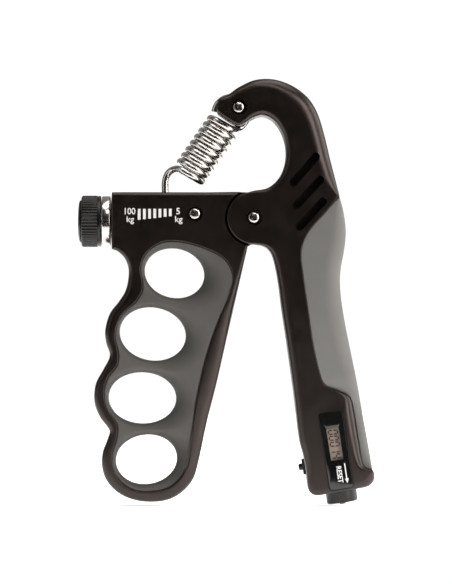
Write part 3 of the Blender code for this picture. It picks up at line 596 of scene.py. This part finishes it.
PAD_LOOP = [
    (33.35, 8.35, 0.6, CORNER), (26.85, 0.9, 0.5), (21.35, -5.4, 0.5), (18.45, -12.6, 0.5),
    (19.25, -22.9, 0.5), (21.15, -36.1, 0.5), (22.95, -48.7, 0.5), (25.55, -60.2, 0.5),
    (27.75, -65.5, 0.5), (32.35, -67.5, 0.5), (37.15, -69.9, 0.5), (38.85, -75.2, 0.5),
    (40.75, -86.4, 0.5), (42.55, -96.4, 0.5), (44.35, -98.3, 0.5), (46.4, -98.5, 0.6, CORNER),
    (45.1, -90.6, 2.2), (43.0, -79.2, 2.6), (40.2, -63.6, 4.6), (37.7, -51.2, 6.0),
    (35.3, -39.0, 6.4), (33.9, -28.3, 6.4), (34.0, -20.3, 6.2), (35.4, -12.7, 6.0),
    (36.0, -5.0, 5.4), (34.9, 3.0, 3.4),
]
SLOT_R = 1.55
SLOT_FLOOR = 6.0
HORN_SLOTS = (
    ((15.4, 13.6), (24.2, 23.8)), ((16.7, 4.8), (25.8, 14.7)), ((17.9, -3.6), (26.9, 6.3)),
)
ANCHOR = (-6.0, 43.1)
LOOP_CENTRE = Vector((-8.85, 0.0, 40.9))
WINDOW = ((-4.05, 5.25), (-15.1, 15.1))
LCD_SPAN = ((-1.85, 2.95), (-3.7, 8.7))
COVER = ((-9.4, 8.8), (-13.2, 19.4))
COVER_SCREWS = {"left": -5.8, "right": 5.2}
COVER_SCREW_Z = 17.4
PLUNGER_Z = -4.7
BUTTON_X = 0.35


def in_bay(shape):
    bmesh.ops.transform(shape, matrix=BAY, verts=shape.verts)
    return shape


def with_gap(spans):
    """The spans of a recess, from those of the flat piece that sits in it."""
    return [(low - 0.3, high + 0.3) for low, high in spans]


def slot_cutter(start, end):
    """A slanted recess in the front face and its mirror in the rear face."""
    outline = stadium(start, end, SLOT_R)
    return [prism(outline, -20, -SLOT_FLOOR), prism(outline, SLOT_FLOOR, 20)]


def palm_frame():
    loop = smooth_loop(PALM_LOOP)
    piece = finish_piece("palm_frame_shell", shell([loop]), BLACK, "palm_handle")
    carve(piece, [
        drum("Y", (0, 0, 0), 10.9, -6.8, 6.8, 96),  # between the two cheeks
        drum("Y", tuple(LOOP_CENTRE), 9.0, -1.9, 1.9, 64),  # slit for the spring's loop
        *rivet_seat((0, 0)), *rivet_seat(ANCHOR),
        *[cutter for ends in HORN_SLOTS for cutter in slot_cutter(*ends)],
        in_bay(block((-8.2, 7.6), (-7.2, 20), (-11.6, 15.3))),  # room for the counter
        in_bay(prism(rounded_rectangle(*with_gap(COVER), 1.6), 8.6, 20)),
        in_bay(prism(rounded_rectangle(*with_gap(WINDOW), 1.5), -20, -8.9)),
        in_bay(block((-2.65, 4.05), (-9.5, -6), (-4.5, 9.5))),  # seat of the display
        in_bay(drum("Z", (BUTTON_X, 0, 0), 6.45, -30, -10.6)),
        in_bay(drum("X", (0, 0, PLUNGER_Z), 1.65, -30, -7.2, 32)),
        in_bay(block((-30, -11.4), (-3.8, 3.8), (-8.1, -1.3))),  # seat of the plunger's bezel
    ])
    crisp(piece)
    replace(piece, "black_shell", "palm_frame")


def pad_sink(points):
    """The pad thins towards its foot, where it wraps round the side of the counter."""
    foot = np.clip((-62 - points[:, 1]) / 12, 0, 1)
    return 3.6 * foot**2 * (3 - 2 * foot)


def palm_pad():
    shape = shell([smooth_loop(PAD_LOOP)], HALF_DEPTH - 0.05, 8, pad_sink, 1.4)
    piece = finish_piece("palm_grip_pad_skin", shape, PAD, "palm_handle", None)
    replace(piece, "pad_rubber", "palm_grip_pad")


# ---------------------------------------------------------------- counter

def seven_segments(digit):
    """The bars of a digit: (x, z, upright) of each bar's centre in a cell 1 wide and 2 high."""
    bars = {
        "top": (0, 1, False), "middle": (0, 0, False), "bottom": (0, -1, False),
        "upper_left": (-0.5, 0.5, True), "upper_right": (0.5, 0.5, True),
        "lower_left": (-0.5, -0.5, True), "lower_right": (0.5, -0.5, True),
    }
    lit = {
        "0": ("top", "bottom", "upper_left", "upper_right", "lower_left", "lower_right"),
        "1": ("upper_right", "lower_right"),
        "4": ("upper_left", "upper_right", "middle", "lower_right"),
    }
    return [bars[name] for name in lit[digit]]


def add_prism(shape, outline, low, high):
    extra = prism(outline, low, high)
    mesh = bpy.data.meshes.new("extra")
    extra.to_mesh(mesh)
    extra.free()
    shape.from_mesh(mesh)
    bpy.data.meshes.remove(mesh)


def sideways(x, z):
    """Turns a mark a quarter turn clockwise, so that it reads down the handle."""
    return z, -x


def lcd_digits():
    shape = bmesh.new()
    half_bar, thick, pitch, slant = 0.74, 0.27, 2.35, 0.06
    wide, tall = 1.5, 1.75
    centre = ((LCD_SPAN[0][0] + LCD_SPAN[0][1]) / 2, (LCD_SPAN[1][0] + LCD_SPAN[1][1]) / 2)
    for place, digit in enumerate("00014"):
        for x, z, upright in seven_segments(digit):
            length = half_bar * (1.05 if upright else 0.86)
            bar = [(-length, 0), (-length + thick, thick), (length - thick, thick),
                   (length, 0), (length - thick, -thick), (-length + thick, -thick)]
            outline = []
            for along, off in bar:
                px, pz = (off, along) if upright else (along, off)
                px, pz = px + x * wide + (place - 2) * pitch, pz + z * tall
                px += slant * pz
                px, pz = sideways(px, pz)
                outline.append((px + centre[0], pz + centre[1]))
            add_prism(shape, outline, -9.0, -8.88)
    piece = finish_piece("lcd_digits", shape, SEGMENT, "palm_handle", 35, BAY)


def counter_window():
    loop = np.array([(x, z, 0.16) for x, z in rounded_rectangle(*WINDOW, 1.3, 8)])
    hole = np.array([(x, z, 0.12) for x, z in rounded_rectangle(*LCD_SPAN, 0.25, 4)])
    shape = shell([loop, hole], 0.6, 4)
    bmesh.ops.translate(shape, vec=(0, -9.8, 0), verts=shape.verts)
    piece = finish_piece("counter_window_frame", shape, GLOSS, "palm_handle", 40, BAY)
    replace(piece, "gloss_black", "counter_window")


def rear_cover():
    outline = rounded_rectangle(*COVER, 1.5, 8)
    shape = shell([np.array([(x, z, 0.35) for x, z in outline])], 0.7, 4)
    bmesh.ops.translate(shape, vec=(0, 9.6, 0), verts=shape.verts)
    piece = finish_piece("rear_cover_shell", shape, BLACK, "palm_handle", 40, BAY)
    cuts = [in_bay(prism(stadium((-5, -9 + 1.6 * i), (5, -9 + 1.6 * i), 0.35, 6), 9.9, 12)) for i in range(4)]
    for x in COVER_SCREWS.values():
        cuts.append(in_bay(drum("Y", (x, 0, COVER_SCREW_Z), 1.2, 0, 20, 32)))
        cuts.append(in_bay(drum("Y", (x, 0, COVER_SCREW_Z), 2.0, 9.5, 20, 48)))
    carve(piece, cuts)
    crisp(piece)
    replace(piece, "black_shell", "rear_cover")


def cover_screws():
    """Two screws with cross recesses."""
    profile = [
        (0, 10.25), (1.35, 10.2), (1.65, 10.0), (1.7, 9.85), (0.9, 9.85), (0.9, 4.5), (0.5, 3.9), (0, 3.9),
    ]
    for side, x in COVER_SCREWS.items():
        shape = turned(profile, "Y", (x, 0, COVER_SCREW_Z), 40)
        piece = finish_piece(f"cover_screw_{side}_head", shape, STEEL, "palm_handle", 35, BAY)
        level = (COVER_SCREW_Z - 0.18, COVER_SCREW_Z + 0.18)
        carve(piece, [
            in_bay(block((x - 1.0, x + 1.0), (9.9, 12), level)),
            in_bay(block((x - 0.18, x + 0.18), (9.9, 12), (COVER_SCREW_Z - 1.0, COVER_SCREW_Z + 1.0))),
        ])
        crisp(piece)
        replace(piece, "steel", f"cover_screw_{side}")


def reset_button():
    profile = [
        (0, -8.7), (1.5, -8.7), (1.5, -10.3), (6.75, -10.3), (6.75, -11.3), (6.15, -11.3),
        (6.15, -20.0), (6.05, -20.45), (5.75, -20.75), (5.3, -20.9), (1.35, -20.9), (1.25, -21.3),
        (1.0, -21.5), (0, -21.5),
    ]
    shape = turned(profile, "Z", (BUTTON_X, 0, 0), 72)
    piece = finish_piece("reset_button_cap", shape, KNOB, "zero_button", 35, BAY)
    replace(piece, "knob_plastic", "reset_button")


def plunger():
    profile = [
        (0, -6.3), (0.9, -6.3), (0.9, -7.2), (2.1, -7.2), (2.1, -7.9), (1.35, -7.9),
        (1.35, -14.2), (1.2, -14.5), (0.9, -14.7), (0, -14.7),
    ]
    shape = turned(profile, "X", (0, 0, PLUNGER_Z), 48)
    piece = finish_piece("count_plunger_nub", shape, KNOB, "step_plunger", 35, BAY)
    replace(piece, "black_shell", "count_plunger")


# ---------------------------------------------------------------- knob

FLUTES = 52
FLUTE_RISE = 0.13  # of each crest above the mean radius


def knob():
    """The fluted drum, from wavy circles whose waves fade towards the ends, and its domed cap."""
    shape = bmesh.new()
    sections = [
        (-67.6, 9.3, 0), (-67.45, 9.65, 0.2), (-67.1, 9.94, 1), (-64, 9.96, 1), (-61.6, 9.96, 1),
        (-61.3, 9.94, 0.3), (-61.15, 9.8, 0), (-61.0, 9.8, 0), (-60.9, 10.0, 0), (-60.1, 10.0, 0),
        (-59.95, 9.8, 0),
    ]
    count = FLUTES * 8
    rows = []
    for x, radius, wave in sections:
        row = []
        for i in range(count):
            angle = 2 * math.pi * i / count
            r = radius + FLUTE_RISE * wave * math.cos(FLUTES * angle)
            row.append(shape.verts.new((x, r * math.cos(angle), SCREW_Z + r * math.sin(angle))))
        rows.append(row)
    for left, right in zip(rows, rows[1:]):
        for i in range(count):
            k = (i + 1) % count
            shape.faces.new((left[i], left[k], right[k], right[i]))
    shape.faces.new(rows[0])
    shape.faces.new(rows[-1][::-1])
    bmesh.ops.recalc_face_normals(shape, faces=shape.faces)
    piece = finish_piece("knob_grip", shape, KNOB, "adjuster_knob", 40)
    carve(piece, [
        drum("X", (0, 0, SCREW_Z), 6.3, -80, -65.2), drum("X", (0, 0, SCREW_Z), 1.3, -80, -50, 32),
        drum("X", (0, 0, SCREW_Z), 2.3, -63.5, -50, 32),
    ])
    crisp(piece)
    replace(piece, "knob_plastic", "knob")
    cap = [
        (0, -67.0), (6.0, -67.0), (6.0, -67.75), (8.1, -67.75), (8.3, -67.9), (8.25, -68.15),
        (8.0, -68.35), (7.2, -68.6), (5.5, -68.8), (3.0, -68.93), (0, -68.97),
    ]
    piece = finish_piece("knob_cap_dome", turned(cap, "X", (0, 0, SCREW_Z), 72), KNOB, "adjuster_knob")
    replace(piece, "knob_plastic", "knob_cap")


def ferrule():
    profile = [
        (5.3, -56.25), (9.45, -56.25), (9.75, -56.35), (9.85, -56.6), (9.85, -59.2), (9.75, -59.45),
        (9.45, -59.55), (5.3, -59.55),
    ]
    shape = turned(profile, "X", (0, 0, SCREW_Z), 96)
    piece = finish_piece("adjuster_ferrule_ring", shape, FERRULE, "finger_handle", 50)
    replace(piece, "chrome", "adjuster_ferrule")


# ---------------------------------------------------------------- spring

WIRE_R = 1.38
COIL_R = 5.7
COIL_PITCH = 2.96
COIL_FOOT = Vector((-24.2, 0.0, 18.9))
LOOP_R = 6.5
HOOK_R = 3.9
HOOK_PIN = (-30.6, 7.6)
AXIS = (LOOP_CENTRE - COIL_FOOT).normalized()
ACROSS = Vector((AXIS.z, 0, -AXIS.x))
DEEP = Vector((0, 1, 0))
FIRST_CREST = -1.52  # along the axis from COIL_FOOT to the wire at the end of the first turn
HOOK_TURN, MIDDLE_TURN, LOOP_TURN = 0.63, 4.75, 8.82  # where the coil starts, is split and ends
HALF_TURNS = 4.1  # from the split to either end
COIL_STEPS = 40  # points in each turn
WIRE_SIDES = 20


def coil_point(turns):
    angle = 2 * math.pi * turns
    along = FIRST_CREST + COIL_PITCH * (turns - 1)
    return COIL_FOOT + AXIS * along + COIL_R * (math.cos(angle) * ACROSS + math.sin(angle) * DEEP)


def coil(start, end):
    count = round((end - start) * COIL_STEPS)
    return [coil_point(start + (end - start) * i / count) for i in range(count + 1)]


def beside_axis(across, deep, along):
    return COIL_FOOT + ACROSS * across + DEEP * deep + AXIS * along


def smooth_path(knots, steps):
    """Catmull-Rom points from the second knot up to, but without, the last but one."""
    found = []
    for before, start, end, after in zip(knots, knots[1:], knots[2:], knots[3:]):
        for i in range(steps):
            t = i / steps
            found.append(0.5 * (
                2 * start + (end - before) * t
                + (2 * before - 5 * start + 4 * end - after) * t**2
                + (3 * start - before - 3 * end + after) * t**3
            ))
    return found


def tube(points, radius):
    """A round wire with capped ends, its section carried along the path without twist."""
    shape = bmesh.new()
    rows = []
    side = Vector((0, 1, 0))
    for i, point in enumerate(points):
        along = (points[min(i + 1, len(points) - 1)] - points[max(i - 1, 0)]).normalized()
        side = side - along * side.dot(along)
        side = side.normalized() if side.length > 1e-6 else along.orthogonal().normalized()
        other = along.cross(side)
        rows.append([
            shape.verts.new(point + radius * (math.cos(a) * side + math.sin(a) * other))
            for a in [2 * math.pi * k / WIRE_SIDES for k in range(WIRE_SIDES)]
        ])
    for left, right in zip(rows, rows[1:]):
        for i in range(WIRE_SIDES):
            k = (i + 1) % WIRE_SIDES
            shape.faces.new((left[i], left[k], right[k], right[i]))
    for end in (rows[0], rows[-1]):
        shape.faces.new(end)
    bmesh.ops.recalc_face_normals(shape, faces=shape.faces)
    return shape


def spring():
    curl = [
        Vector((HOOK_PIN[0] + HOOK_R * math.cos(a), 0, HOOK_PIN[1] + HOOK_R * math.sin(a)))
        for a in [math.radians(10 - 190 * i / 30) for i in range(31)]
    ]
    neck = [Vector((-34.8, 0, 13.6)), Vector((-33.7, -0.2, 17.3)), Vector((-31.4, -1.6, 19.0))]
    lower = coil(HOOK_TURN, MIDDLE_TURN)
    bridge = smooth_path([curl[-4], curl[-1], *neck, lower[0], lower[4]], 8)
    upper = coil(MIDDLE_TURN, LOOP_TURN)
    throat = [beside_axis(4.7, -2.7, 22.3), beside_axis(5.8, -0.7, 23.6)]
    loop = [
        LOOP_CENTRE + LOOP_R * (math.cos(a) * ACROSS + math.sin(a) * AXIS)
        for a in [math.radians(-10 + 5.07 * i) for i in range(44)]
    ]
    climb = smooth_path([upper[-5], upper[-1], *throat, loop[0], loop[3]], 6)
    half = AXIS * (COIL_PITCH * HALF_TURNS) * MM
    rest = (
        ("spring_lower_half", curl[:-1] + bridge + lower, "spring_lower", "spring_centre", -half, 0 * half,
         ("spring_hook_end", "spring_middle")),
        ("spring_upper_half", upper[:-1] + climb + loop, "spring_centre", "spring_upper", 0 * half, half,
         ("spring_loop_end",)),
    )
    for name, points, first, second, start, end, nodes in rest:
        piece = finish_piece(name, tube(points, WIRE_R), WIRE, None, 60)
        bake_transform(piece)
        replace(piece, "chrome", *nodes)


# ---------------------------------------------------------------- printed marks

def lettering(name, text, size, at, body, turn=0.0, transform=None, wide=1.0, bold=0.0):
    """A word in ink that faces forward, centred at a point and turned clockwise by turn degrees."""
    curve = bpy.data.curves.new(name, "FONT")
    curve.body = text
    curve.size = size
    curve.align_x = "CENTER"
    curve.align_y = "CENTER"
    curve.extrude = 0.03
    curve.offset = bold
    guide = bpy.data.objects.new(name, curve)
    bpy.context.scene.collection.objects.link(guide)
    graph = bpy.context.evaluated_depsgraph_get()
    mesh = bpy.data.meshes.new_from_object(guide.evaluated_get(graph))
    bpy.data.objects.remove(guide)
    shape = bmesh.new()
    shape.from_mesh(mesh)
    bpy.data.meshes.remove(mesh)
    upright = Matrix.Translation((at[0], at[1], at[2])) @ Matrix.Rotation(math.radians(turn), 4, "Y")
    upright = upright @ Matrix.Rotation(math.pi / 2, 4, "X") @ Matrix.Diagonal((wide, 1, 1, 1))
    bmesh.ops.transform(shape, matrix=upright, verts=shape.verts)
    bmesh.ops.remove_doubles(shape, verts=shape.verts, dist=1e-5)
    piece = finish_piece(name, shape, INK, body, 30, transform)


def scale_marks():
    face = -10.53
    lettering("scale_high", "100", 3.5, (-48.6, face, 2.35), "finger_handle", wide=0.92, bold=0.04)
    lettering("scale_high_unit", "kg", 3.4, (-48.3, face, -0.75), "finger_handle", bold=0.03)
    lettering("scale_low", "5", 3.5, (-29.6, face, 2.35), "finger_handle", bold=0.04)
    lettering("scale_low_unit", "kg", 3.4, (-29.4, face, -0.75), "finger_handle", bold=0.03)
    shape = bmesh.new()
    for i in range(7):
        left = -45.3 + 2.02 * i
        foot = -0.9 + 1.4 * i / 6
        add_prism(shape, [(left, 3.4), (left + 1.1, 3.4), (left + 1.1, foot), (left, foot)], -10.56, -10.49)
    finish_piece("scale_bars", shape, INK, "finger_handle")


def counter_marks():
    lettering("reset_word", "RESET", 2.75, (0.55, -10.43, -9.4), "palm_handle", 90, BAY, 0.9, 0.05)
    shape = bmesh.new()
    arrow = [
        (2.95, -5.4), (3.35, -5.4), (3.35, -11.4), (3.9, -11.4), (3.15, -13.2), (2.4, -11.4), (2.95, -11.4),
    ]
    add_prism(shape, arrow, -10.46, -10.39)
    finish_piece("reset_arrow", shape, INK, "palm_handle", 35, BAY)


# ---------------------------------------------------------------- carried-over nodes

CARRIED = {
    "lead_screw": STEEL, "knob_screw": STEEL, "retaining_clip": STEEL, "hook_pin": STEEL,
    "hook_sleeve": STEEL, "button_cell": STEEL, "battery_clip": STEEL, "brass_nut": BRASS,
    "pivot_bush": BRASS, "carriage_block": NYLON, "thrust_washer": NYLON,
    "hinge_washer_front": NYLON, "hinge_washer_rear": NYLON, "counter_board": BOARD,
    "count_switch": GLOSS, "reset_switch": GLOSS, "lcd_panel": LCD, "plunger_bezel": KNOB,
}


def carry_over():
    for name, material in CARRIED.items():
        slots = frame["nodes"][name].material_slots
        for place in slots:
            place.material = material


# ---------------------------------------------------------------- stage, lights and camera

FLOOR_X = (-0.9, 0.9)
FLOOR_Y = (-0.22, 1.2)
FLOOR_DROP = 0.0005  # below the lowest point of the object


def stage():
    """A plain pale floor, with a light of its own so that it stays near white."""
    floor_z = cad_box[0][2] - FLOOR_DROP
    shape = bmesh.new()
    (left, right), (near, far) = FLOOR_X, FLOOR_Y
    corners = ((left, near), (right, near), (right, far), (left, far))
    shape.faces.new([shape.verts.new((x, y, floor_z)) for x, y in corners])
    mesh = bpy.data.meshes.new("floor")
    shape.to_mesh(mesh)
    shape.free()
    floor = bpy.data.objects.new("floor", mesh)
    bpy.context.scene.collection.objects.link(floor)
    pale = ((0.80, 0.80, 0.80), (0.83, 0.83, 0.83))
    mesh.materials.append(moulded("pale_floor", *pale, (0.8, 0.9), 40, 0.01, 0.1))
    return floor


def area_light(name, at, target, size, power, colour=(1, 1, 1)):
    lamp = bpy.data.lights.new(name, "AREA")
    lamp.shape = "RECTANGLE"
    lamp.size, lamp.size_y = size
    lamp.energy = power
    lamp.color = colour
    light = bpy.data.objects.new(name, lamp)
    light.location = at
    light.rotation_euler = (Vector(target) - Vector(at)).to_track_quat("-Z", "Y").to_euler()
    bpy.context.scene.collection.objects.link(light)
    return light


SEEN = 1.05  # brightness of the backdrop to the camera
BACK_LOW = 0.02  # brightness in reflections, in front of the object and beside it
BACK_HIGH = 0.34  # brightness in reflections, behind the object


def world():
    """Pure white to the camera. To everything else it is bright behind the object and dim in
    front of it, as in a studio with a lit backdrop."""
    sky = bpy.data.worlds.new("studio")
    sky.use_nodes = True
    tree = sky.node_tree
    tree.nodes.clear()
    seen = tree.nodes.new("ShaderNodeBackground")
    seen.inputs["Color"].default_value = (1, 1, 1, 1)
    seen.inputs["Strength"].default_value = SEEN
    direction = tree.nodes.new("ShaderNodeTexCoord")
    parts = tree.nodes.new("ShaderNodeSeparateXYZ")
    fade = tree.nodes.new("ShaderNodeValToRGB")
    fade.color_ramp.elements[0].position = 0.0
    fade.color_ramp.elements[0].color = (BACK_LOW, BACK_LOW, BACK_LOW, 1)
    fade.color_ramp.elements[1].position = 0.55
    fade.color_ramp.elements[1].color = (BACK_HIGH, BACK_HIGH * 0.97, BACK_HIGH * 0.94, 1)
    lighting = tree.nodes.new("ShaderNodeBackground")
    path = tree.nodes.new("ShaderNodeLightPath")
    mix = tree.nodes.new("ShaderNodeMixShader")
    out = tree.nodes.new("ShaderNodeOutputWorld")
    tree.links.new(direction.outputs["Generated"], parts.inputs["Vector"])
    tree.links.new(parts.outputs["Y"], fade.inputs["Fac"])
    tree.links.new(fade.outputs["Color"], lighting.inputs["Color"])
    tree.links.new(path.outputs["Is Camera Ray"], mix.inputs["Fac"])
    tree.links.new(lighting.outputs["Background"], mix.inputs[1])
    tree.links.new(seen.outputs["Background"], mix.inputs[2])
    tree.links.new(mix.outputs["Shader"], out.inputs["Surface"])
    bpy.context.scene.world = sky


# Each lamp round the object: place from its middle, width and height, power and colour
LAMPS = {
    "key_right": ((0.60, -0.45, 0.25), (0.35, 0.8), 5.0, (1, 0.95, 0.91)),
    "fill_left": ((-0.65, -0.30, 0.20), (0.3, 0.8), 0.7, (1, 0.98, 0.96)),
    "side_right": ((0.75, 0.22, 0.12), (0.55, 0.95), 4.5, (1, 0.92, 0.88)),
    "front_top": ((0.12, -0.50, 0.55), (0.30, 0.16), 0.9, (1, 0.97, 0.94)),
    "top": ((0.05, -0.05, 0.60), (0.7, 0.35), 2.2, (1, 0.96, 0.93)),
}
MIDDLE = PIVOT + Vector((-0.011, 0, -0.029))


def lights(floor):
    for name, (away, size, power, colour) in LAMPS.items():
        area_light(name, MIDDLE + Vector(away), MIDDLE, size, power, colour)
    lit = bpy.data.collections.new("floor_lighting")
    lit.objects.link(floor)
    wash = area_light("floor_wash", (0, 0.6, 1.6), (0, 0.6, 0), (3.0, 3.6), 110)
    wash.light_linking.receiver_collection = lit
    wash.light_linking.blocker_collection = lit


def camera():
    """Level and square to the front face, with a long lens."""
    reach = 1.5  # from the front face
    seen_height = 0.2278  # of the picture, at the front face
    data = bpy.data.cameras.new("camera")
    data.sensor_width = 36
    data.lens = data.sensor_width * reach / seen_height
    data.clip_end = 20
    eye = bpy.data.objects.new("camera", data)
    eye.location = PIVOT + Vector((-0.0109, -reach - HALF_DEPTH * MM, -0.02905))
    eye.rotation_euler = (math.pi / 2, 0, 0)
    bpy.context.scene.collection.objects.link(eye)
    bpy.context.scene.camera = eye


finger_frame()
finger_insert()
rivet("stop_rivet_head", STOP_RIVET, "finger_handle", 1.0, "stop_rivet")
palm_frame()
palm_pad()
rivet("pivot_rivet_head", (0, 0), "palm_handle", 1.5, "pivot_rivet")
rivet("spring_anchor_rivet_head", ANCHOR, "palm_handle", 1.2, "spring_anchor_rivet")
counter_window()
lcd_digits()
rear_cover()
cover_screws()
reset_button()
plunger()
knob()
ferrule()
spring()
scale_marks()
counter_marks()
carry_over()
floor = stage()
world()
lights(floor)
camera()
bpy.context.scene.view_settings.view_transform = "Standard"
